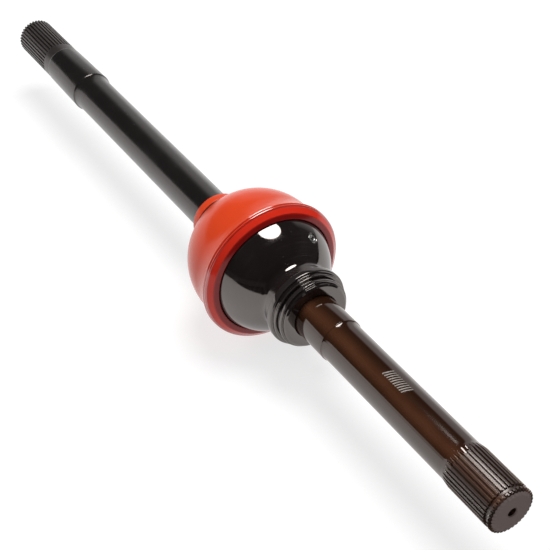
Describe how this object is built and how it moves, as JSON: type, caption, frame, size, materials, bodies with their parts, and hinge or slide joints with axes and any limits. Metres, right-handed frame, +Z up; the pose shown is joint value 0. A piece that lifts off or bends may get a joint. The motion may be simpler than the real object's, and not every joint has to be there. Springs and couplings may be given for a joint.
{
  "type": "cv axle",
  "caption": "Constant-velocity front half-axle: splined inner shaft, ball joint under a ball-shaped boot, and splined stub shaft.",
  "frame": {"origin": "middle of the axle's overall length, on its axis; the joint's centre is at x = +0.08115", "axes": "+X along the axle from the differential end to the wheel end; +Z up, the joint's steer axis at rest; +Y sideways, its tilt axis at rest"},
  "size_m": [0.8016, 0.127, 0.127],
  "materials": {
    "inner_shaft": "satin black oxide on ground steel",
    "outer_bell": "polished black with fine turning marks",
    "stub_shaft": "polished bronze-brown heat tint",
    "bearing_steel": "ground bearing steel",
    "spring_steel": "dark spring steel",
    "plug": "zinc-plated",
    "boot": "satin moulded polyurethane",
    "rubber": "matt black"
  },
  "bodies": {
    "inner_axle": {"inner_shaft": "inner_shaft", "inner_race": "bearing_steel", "race_snap_ring": "spring_steel", "race_stop_ring": "spring_steel", "boot": "boot", "boot_seal_ring": "rubber", "boot_clamp": "spring_steel"},
    "swivel_in": {"ball_1": "bearing_steel"},
    "cage_group": {"cage": "bearing_steel", "ball_2": "bearing_steel", "ball_3": "bearing_steel", "ball_5": "bearing_steel", "ball_6": "bearing_steel"},
    "swivel_out": {"ball_4": "bearing_steel"},
    "outer_axle": {"outer_bell": "outer_bell", "stub_shaft": "stub_shaft", "stub_snap_ring": "spring_steel", "stub_o_ring": "rubber", "grease_plug": "plug"}
  },
  "joints": [
    {"name": "steer", "type": "hinge", "parent": "inner_axle", "child": "swivel_in", "pos_m": [0.08115, 0, 0], "axis": [0, 0, 1], "range_deg": [-17, 17]},
    {"name": "tilt", "type": "hinge", "parent": "swivel_in", "child": "cage_group", "pos_m": [0.08115, 0, 0], "axis": [0, 1, 0], "range_deg": [-8, 8]},
    {"name": "tilt_outer", "type": "hinge", "parent": "cage_group", "child": "swivel_out", "pos_m": [0.08115, 0, 0], "axis": [0, 1, 0], "range_deg": [-8, 8]},
    {"name": "steer_outer", "type": "hinge", "parent": "swivel_out", "child": "outer_axle", "pos_m": [0.08115, 0, 0], "axis": [0, 0, 1], "range_deg": [-17, 17]}
  ],
  "couplings": [
    {"joint": "tilt_outer", "follows": "tilt", "ratio": 1},
    {"joint": "steer_outer", "follows": "steer", "ratio": 1}
  ]
}
